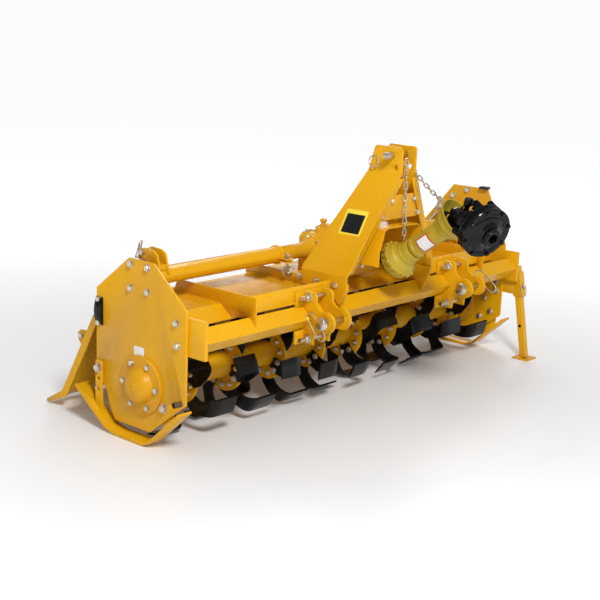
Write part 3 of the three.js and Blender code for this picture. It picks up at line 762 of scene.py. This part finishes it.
# Blank maker's labels stand on the guard, the mast and the side plate.
label_white = finish("white_film", (0.84, 0.84, 0.83), (0.78, 0.78, 0.77), (0.3, 0.42),
                     patch=12, grain=900, relief=0.00002)
label_red = finish("red_film", (0.55, 0.02, 0.02), (0.48, 0.015, 0.015), (0.3, 0.42),
                   patch=12, grain=900, relief=0.00002)
label_black = finish("black_film", (0.006, 0.006, 0.0065), (0.009, 0.009, 0.009), (0.28, 0.4),
                     patch=12, grain=900, relief=0.00002)
label_yellow = finish("yellow_film", (0.90, 0.70, 0.06), (0.84, 0.64, 0.05), (0.3, 0.42),
                      patch=12, grain=900, relief=0.00002)


def plate(name, centre, along, over, width, height, corner, thick, material):
    along = Vector(along).normalized()
    out = along.cross(Vector(over)).normalized()
    over = out.cross(along)
    work = bmesh.new()
    rim = []
    for quarter, (sx, sy) in enumerate(((1, 1), (-1, 1), (-1, -1), (1, -1))):
        for k in range(5):
            a = pi / 2 * (quarter + k / 4)
            rim.append((sx * (width / 2 - corner) + corner * cos(a),
                        sy * (height / 2 - corner) + corner * sin(a)))
    low = [work.verts.new(place(*(Vector(centre) + along * u + over * v))) for u, v in rim]
    high = [work.verts.new(place(*(Vector(centre) + along * u + over * v + out * thick)))
            for u, v in rim]
    skinned(work, [low, high])
    piece_of(work, name, "root", material)


plate("serial_plate_blank", (LEFT_FACE, 13, 287), (0, -1, 0), (0, 0, 1), 48, 46, 2, 0.6,
      label_white)
slope = Vector((214.3, 0, 354)).normalized()
mast_label = Vector((-152.4, -239, 679)) - Vector((354, 0, -214.3)).normalized() * 0.1
plate("mast_label_border", mast_label, (0, -1, 0), slope, 98, 98, 6, 0.5, label_yellow)
plate("mast_label_blank", mast_label - slope * 5 + Vector((-0.86, 0, 0.52)) * 0.4, (0, -1, 0),
      slope, 80, 74, 2, 0.4, label_black)


# A label wrapped round the guard's tube, from one distance along the shaft to another.
def wrapped(name, radius, low, high, first, last, material):
    work = bmesh.new()
    rows = []
    for k in range(17):
        around = shaft_turn @ Quaternion((0, 0, 1), first + (last - first) * k / 16)
        rows.append([
            work.verts.new(place(*(INNER + shaft * s + around @ Vector((r, 0, 0)))))
            for r, s in ((radius, low), (radius, high), (radius + 0.5, high), (radius + 0.5, low))])
    skinned(work, rows)
    piece_of(work, name, "driveline_outer", material)


LABEL_TURN = 3.6
wrapped("guard_label_edge", 36.0, 132, 190, LABEL_TURN - 0.85, LABEL_TURN + 0.85, label_red)
wrapped("guard_label_blank", 36.3, 137, 185, LABEL_TURN - 0.72, LABEL_TURN + 0.72, label_white)

# ---- Slip clutch and universal joint ----
# A friction clutch of stacked discs held by springs on a ring of bolts. Its splined boss faces
# the tractor, and the fork behind it turns on a cross that its bearing cups hold. All gloss black.

gloss_black = finish("gloss_black", (0.004, 0.004, 0.0045), (0.0025, 0.0025, 0.003), (0.06, 0.15),
                     patch=10, grain=300, relief=0.00008, shine=0.24)
clutch_axis = Vector((-0.3252, -0.8807, -0.3443)).normalized()
clutch_turn = clutch_axis.to_track_quat("Z", "Y")

clutch = bmesh.new()
outer_place = place(*OUTER)
turned(clutch, [
    (0, 52), (35, 52), (37, 56), (37, 72), (46, 82), (60, 90), (66, 97), (88, 99), (91.5, 101),
    (91.5, 107), (90, 108.5), (86.5, 109), (86.5, 111), (89.5, 111.5), (89.5, 114.5), (86, 115),
    (86, 118), (89.5, 118.5), (89.5, 121.5), (86, 122), (86, 125), (90, 125.5), (92, 127),
    (92, 136), (90, 139), (76, 140), (73, 138), (65, 138), (62, 141), (56, 143), (48, 145.5),
    (42, 149), (38, 153), (34, 156), (30.5, 158), (30.5, 160), (33, 161), (33, 170), (30, 171),
    (29.5, 174), (28, 176), (18, 176), (18, 112), (0, 112)], outer_place, clutch_axis, 72)
piece_of(clutch, "clutch_pack", "clutch", gloss_black, ("slip_clutch",))

# Splines inside the boss.
spline_work = bmesh.new()
bmesh.ops.create_cube(spline_work, size=1, matrix=Matrix.Diagonal((0.004, 0.0048, 0.062, 1)))
spline = part_of(spline_work, "spline")
spline_spots = []
for k in range(6):
    around = clutch_turn @ Quaternion((0, 0, 1), pi * k / 3)
    spline_spots.append((place(*(OUTER + clutch_axis * 143 + around @ Vector((16.8, 0, 0)))), around))
set_out("boss_splines", spline, spline_spots, "clutch", gloss_black)

# Spring bolts stand behind the pressure plate; their nuts show on the front face.
spring_work = bmesh.new()
coils = 5
wire = 2.4
turns = []
for k in range(coils * 16 + 1):
    a = 2 * pi * k / 16
    centre = Vector((9.5 * cos(a), 9.5 * sin(a), -4 - 27 * k / (coils * 16)))
    out = Vector((cos(a), sin(a), 0))
    turns.append([spring_work.verts.new(
        (centre + out * wire * cos(b) + Vector((0, 0, wire * sin(b)))) / 1000)
        for b in (2 * pi * j / 6 for j in range(6))])
skinned(spring_work, turns)
turned(spring_work, [(0, 0), (4.5, 0), (4.5, -42), (0, -42)], Vector((0, 0, 0)), (0, 0, 1), 12)
turned(spring_work, [(0, -32), (13, -32), (13, -35), (0, -35)], Vector((0, 0, 0)), (0, 0, 1), 20)
turned(spring_work, [(0, -34), (9.5, -34), (9.5, -41), (8, -43), (0, -43)], Vector((0, 0, 0)),
       (0, 0, 1), 6)
spring = part_of(spring_work, "spring")
spring_spots = []
nut_spots = []
for k in range(8):
    around = clutch_turn @ Quaternion((0, 0, 1), pi * k / 4 + 0.3)
    arm = around @ Vector((80, 0, 0))
    spring_spots.append((place(*(OUTER + clutch_axis * 100 + arm)), around))
    nut_spots.append((place(*(OUTER + clutch_axis * 139.4 + arm * 83 / 80)), around))
set_out("clutch_springs", spring, spring_spots, "clutch", gloss_black)
set_out("clutch_nuts", hexagon("nut_m8_black", 13, 7, 9), nut_spots, "clutch", gloss_black)


# A fork: two ears on a hub, holding one pair of the cross's bearing cups.
def fork(work, centre, axis, cup_axis, hub_at, hub_radius):
    axis = Vector(axis).normalized()
    cup_axis = Vector(cup_axis).normalized()
    side = axis.cross(cup_axis)
    for sign in (-1, 1):
        rows = []
        for s, out, half, thick in ((hub_at, 22, 30, 24), (hub_at * 0.72, 38, 30, 16),
                                    (hub_at * 0.42, 43, 28, 12), (0, 44, 25, 12),
                                    (-14, 44, 19, 12), (-22, 44, 8, 10)):
            inner_at = centre + axis * s + cup_axis * sign * (out - thick / 2)
            outer_at = centre + axis * s + cup_axis * sign * (out + thick / 2)
            rows.append([work.verts.new(place(*point)) for point in (
                inner_at - side * half, inner_at + side * half, outer_at + side * half * 0.8,
                outer_at - side * half * 0.8)])
        skinned(work, rows)
        turned(work, [(0, 36), (17, 36), (17, 53), (15, 55), (0, 55)], place(*centre),
               cup_axis * sign, 24)
    turned(work, [(0, hub_at - 14), (hub_radius, hub_at - 14), (hub_radius + 4, hub_at),
                  (hub_radius + 4, hub_at + 16), (0, hub_at + 16)], place(*centre), axis, 32)


front_fork = bmesh.new()
fork(front_fork, OUTER, clutch_axis, clutch_turn @ Vector((1, 0, 0)), 44, 30)
for direction in (Vector((1, 0, 0)), Vector((0, 1, 0))):
    arm = clutch_turn @ direction
    turned(front_fork, [(0, -48), (9, -48), (9, 48), (0, 48)], outer_place, arm, 20)
turned(front_fork, [(0, -14), (12, -12), (16, -4), (16, 4), (12, 12), (0, 14)], outer_place,
       clutch_axis, 24)
piece_of(front_fork, "clutch_fork", "clutch", gloss_black)
rear_fork = bmesh.new()
fork(rear_fork, OUTER, -shaft, clutch_turn @ Vector((0, 1, 0)), 40, 24)
turned(rear_fork, [(34, SPAN - 78), (50, SPAN - 78), (52, SPAN - 74), (50, SPAN - 72),
                   (34, SPAN - 72)], place(*INNER), shaft, 48, closed=True)
piece_of(rear_fork, "driveline_fork", "driveline_outer", gloss_black)
edged("input_yoke", gloss_black, 1.5)
inner_fork = bmesh.new()
fork(inner_fork, INNER, (0, 1, 0), (1, 0, 0), 44, 24)
piece_of(inner_fork, "input_fork", "root", gloss_black)

# ---- Safety chains ----
# Two short chains of welded links keep the guard from turning: one hangs from the top pin to the
# inner bell, the other runs from the right mast plate to the outer bell.

LINK_PITCH = 21
link_work = bmesh.new()
rings = []
for k in range(24):
    a = 2 * pi * k / 24
    shift = 7.5 if cos(a) > 0.01 else -7.5 if cos(a) < -0.01 else 0
    centre = Vector((shift + 6 * cos(a), 6 * sin(a), 0))
    out = Vector((cos(a), sin(a), 0))
    rings.append([link_work.verts.new(
        (centre + out * 2.1 * cos(b) + Vector((0, 0, 2.1 * sin(b)))) / 1000)
        for b in (2 * pi * j / 8 for j in range(8))])
skinned(link_work, rings, closed=True)
chain_link = part_of(link_work, "chain_link")


def chain(name, start_at, end_at, sag):
    start_at, end_at = Vector(start_at), Vector(end_at)
    drop = Vector((0, 0, -sag))

    def at(t):
        return start_at.lerp(end_at, t) + drop * 4 * t * (1 - t)

    length = sum((at((k + 1) / 50) - at(k / 50)).length for k in range(50))
    count = round(length / LINK_PITCH)
    spots = []
    for k in range(count):
        t = (k + 0.5) / count
        run = (at(t + 0.01) - at(t - 0.01)).to_track_quat("X", "Z")
        spots.append((place(*at(t)), run @ Quaternion((1, 0, 0), pi / 4 + pi / 2 * (k % 2))))
    set_out(name, chain_link, spots, "root", zinc, sharp=50)


chain("hanging_chain", (0, -343, 905), (0, -352, 612), 0)
chain("stay_chain", (46, -336, 872), (2, -517, 771), 9)

# ---- Pins, rings and clips ----
# Turned zinc pins for the links of the hitch, each locked by a bent wire ring. They can be
# drawn by hand, so each stands a little loose in its holes.

for node in ("top_link_pin", "hitch_pin_left", "hitch_pin_right", "tailboard_rod_left",
             "tailboard_rod_right"):
    edged(node, zinc, 0.8)


# A bent wire ring along a closed path; each section keeps its turn from the one before.
def wire_loop(name, points, gauge, body="root"):
    work = bmesh.new()
    path = [Vector(point) for point in points]
    count = len(path)
    rings = []
    previous = None
    for k in range(count):
        run = (path[(k + 1) % count] - path[k - 1]).normalized()
        if previous is None:
            side = run.orthogonal().normalized()
        else:
            side = (previous - run * previous.dot(run)).normalized()
        previous = side
        lift = run.cross(side)
        rings.append([work.verts.new(place(*(
            path[k] + (side * cos(b) + lift * sin(b)) * gauge / 2)))
            for b in (2 * pi * j / 10 for j in range(10))])
    skinned(work, rings, closed=True)
    piece_of(work, name, body, zinc, sharp=60)


# A long oval ring in the plane of `along` and `over`.
def oval(centre, along, over, length, width, steps=40):
    centre, along, over = Vector(centre), Vector(along).normalized(), Vector(over).normalized()
    straight = length / 2 - width / 2
    points = []
    for k in range(steps):
        a = 2 * pi * k / steps
        shift = straight * min(max(cos(a) * 6, -1), 1)
        points.append(centre + along * (shift + width / 2 * cos(a)) + over * (width / 2 * sin(a)))
    return points


down_front = Vector((0, -1, -1))
wire_loop("hitch_ring_left", oval((-428, -317, 359), down_front + Vector((-0.12, 0, 0)),
                                  (0.25, -1, 1), 112, 30), 5)
wire_loop("hitch_ring_right", oval((541, -365, 391), (0, -0.81, -0.585), (0.25, -0.6, 0.8), 112,
                                   32), 5)
wire_loop("latch_ring", oval((-50, -235, 889), (0, 1, 0.2), (0.3, 0, 1), 40, 40), 5)
top_head = bmesh.new()
turned(top_head, [(0, 0), (13, 0), (13, 34), (11, 40), (5, 42), (0, 42)], place(-44, -312, 918),
       (-1, 0, 0), 32)
piece_of(top_head, "top_pin_head", "root", zinc)

# The parking leg's locking pin and its pull ring stand on the socket; one spare hole shows below.
leg_pin = bmesh.new()
turned(leg_pin, [(0, 0), (7.5, 0), (7.5, 58), (6, 60), (0, 60)], place(949, -246, 300), (0, -1, 0),
       20)
piece_of(leg_pin, "leg_pin", "root", zinc)
wire_loop("leg_pin_ring", oval((949, -301, 280), (0.25, -0.1, -1), (1, 0, 0.25), 52, 34), 4)
leg_hole = bmesh.new()
turned(leg_hole, [(0, 0), (6.5, 0), (6.5, 0.4), (0, 0.4)], place(935.4, -304, 128), (-1, 0, 0), 20)
piece_of(leg_hole, "leg_hole_shadow", "parking_leg", gloss_black)

# Dome heads on the hitch pins, with the cross hole that the ring goes through.
for name, x, sign in (("left", -431, -1), ("right", 401, -1)):
    head = bmesh.new()
    turned(head, [(0, -4), (23, -4), (23, 4), (20, 9), (13, 12), (0, 13)],
           place(x, -345, 374), (sign, 0, 0), 40)
    piece_of(head, f"hitch_pin_head_{name}", "root", zinc)

# Through bolts that close each hitch clamp on the beam.
clamp_heads = []
clamp_nuts = []
for low_x, high_x in ((-405, -320), (427, 512)):
    for y, z in ((-264, 449), (-266, 304)):
        clamp_heads.append((low_x - 5, y, z))
        clamp_nuts.append((high_x + 5, y, z))
        bar = bmesh.new()
        turned(bar, [(0, 0), (7.5, 0), (7.5, high_x - low_x + 46), (0, high_x - low_x + 46)],
               place(low_x - 46, y, z), (1, 0, 0), 20)
        piece_of(bar, f"clamp_bolt_{low_x}_{z}".replace("-", "m"), "root", zinc)
bolts("clamp_heads", LARGE, clamp_heads, (-1, 0, 0))
bolts("clamp_nuts", hexagon("nut_m16", 25, 13, 17, 8), clamp_nuts, (1, 0, 0))

# Pivot bolts and clips at both ends of the tailboard's rods.
ROD_PIVOT = (66, 610)
ROD_EYE = (381, 263)
ROD_X = 850
THREAD_FROM = 250
THREAD_TO = 503
for side, sign in (("left", -1), ("right", 1)):
    x = sign * ROD_X
    ends = [(x - 22, *ROD_PIVOT)]
    bolts(f"rod_pivot_head_{side}", SMALL, ends, (-1, 0, 0))
    bolts(f"rod_pivot_nut_{side}", NUT, [(x + 22, *ROD_PIVOT)], (1, 0, 0), size=0.9)
    wire_loop(f"rod_clip_{side}", oval((x - 20, ROD_PIVOT[0] + 20, ROD_PIVOT[1] + 8),
                                       (-0.1, 0.3, -1), (1, 0.3, 0), 62, 16), 4)
    clip_pin = bmesh.new()
    turned(clip_pin, [(0, 0), (5.5, 0), (6.5, 2), (6.5, 50), (5.5, 52), (0, 52)],
           place(x - 18, ROD_PIVOT[0] + 17, ROD_PIVOT[1] - 24), (0, 0, 1), 20)
    piece_of(clip_pin, f"rod_clip_pin_{side}", "root", zinc)
    run = Vector((ROD_EYE[0] - ROD_PIVOT[0], ROD_EYE[1] - ROD_PIVOT[1]))
    eye_at = run.length
    run.normalize()
    # Threads cover the rod's lower half. The nuts above the eye leave it room as the tailboard lifts.
    thread = bmesh.new()
    profile = [(0, THREAD_FROM), (7.4, THREAD_FROM)]
    for s in range(THREAD_FROM + 2, THREAD_TO - 1, 2):
        profile += [(8.5, s), (7.6, s + 1)]
    profile += [(7.4, THREAD_TO), (0, THREAD_TO)]
    turned(thread, profile, place(x, *ROD_PIVOT), (0, run.x, run.y), 16)
    piece_of(thread, f"rod_thread_{side}", f"tail_rod_{side}", zinc, sharp=70)
    nuts = [(x, ROD_PIVOT[0] + run.x * s, ROD_PIVOT[1] + run.y * s)
            for s in (eye_at - 84, eye_at - 98)]
    bolts(f"rod_nuts_{side}", hexagon(f"rod_nut_{side}", 26, 13, 15), nuts, (0, -run.x, -run.y),
          f"tail_rod_{side}")
    bolts(f"rod_end_nut_{side}", hexagon(f"rod_end_{side}", 26, 13, 15),
          [(x, ROD_PIVOT[0] + run.x * (eye_at + 20), ROD_PIVOT[1] + run.y * (eye_at + 20))],
          (0, run.x, run.y), f"tail_rod_{side}")
    # The swivel between the lugs that the rod slides in.
    swivel = bmesh.new()
    turned(swivel, [(9, -15.5), (15, -15.5), (15, 15.5), (9, 15.5)], place(x, *ROD_EYE),
           (1, 0, 0), 32, closed=True)
    turned(swivel, [(0, -32), (8.5, -32), (8.5, 32), (0, 32)], place(x, *ROD_EYE), (1, 0, 0), 24)
    piece_of(swivel, f"rod_swivel_{side}", "tailboard", zinc)
    bolts(f"swivel_bolts_{side}", SMALL, [(x - 24, *ROD_EYE)], (-1, 0, 0), "tailboard")
    bolts(f"swivel_nuts_{side}", NUT, [(x + 24, *ROD_EYE)], (1, 0, 0), "tailboard", size=0.9)

# ---- Small fittings ----
# The gearbox's breather, the black strap bracket and the cable cleat are bought in and bolted on
# after the frame is coated.

breather = bmesh.new()
turned(breather, [(0, 0), (11, 0), (11, 4), (8, 5), (8, 14), (13, 16), (14, 20), (13, 25),
                  (8, 28), (0, 28)], place(-8, 22, 614), (0, 0, 1), 32)
piece_of(breather, "gearbox_breather", "root", cast_paint)
plug = hexagon("level_plug", 22, 9, 14)
bolts("level_plugs", plug, [(-50, 74, 480), (50, 74, 480)], (0, 1, 0))

# Two ears close each tube's socket, drawn together by an upright bolt.
for side, sign in (("left", -1), ("right", 1)):
    for level, z in (("upper", 529), ("lower", 519)):
        plate(f"socket_ear_{level}_{side}", (sign * 277, -38, z), (1, 0, 0), (0, 1, 0), 38, 46, 5,
              4.5, paint)
    pull = bmesh.new()
    turned(pull, [(0, 0), (5.5, 0), (5.5, 62), (4.5, 63), (0, 63)],
           place(sign * 279, -44, 482), (0, 0, 1), 20)
    piece_of(pull, f"socket_bolt_{side}", "root", zinc)
    bolts(f"socket_nut_{side}", NUT, [(sign * 279, -44, 533.5)], (0, 0, 1))

# The strap bracket is an arched pad, held at both ends.
pad = bmesh.new()
rows = []
for k in range(17):
    rise = k / 16
    bulge = 4 + 14 * sin(pi * rise) ** 0.7
    z = 347 + 96 * rise
    rows.append([pad.verts.new(place(LEFT_FACE - out, 212 + y, z)) for y, out in (
        (-17, 0.3), (-17, bulge * 0.6), (-13, bulge * 0.9), (-6, bulge), (6, bulge),
        (13, bulge * 0.9), (17, bulge * 0.6), (17, 0.3))])
skinned(pad, rows)
piece_of(pad, "strap_pad", "root", gloss_black)
bolts("strap_bolts", SMALL, [(LEFT_FACE - 5, 212, 354), (LEFT_FACE - 5, 212, 436)], (-1, 0, 0))
plate("cleat_base", (HALF_WIDTH - 16, -91, 702), (1, 0, 0), (0, -1, 0), 34, 40, 5, 9,
      gloss_black)
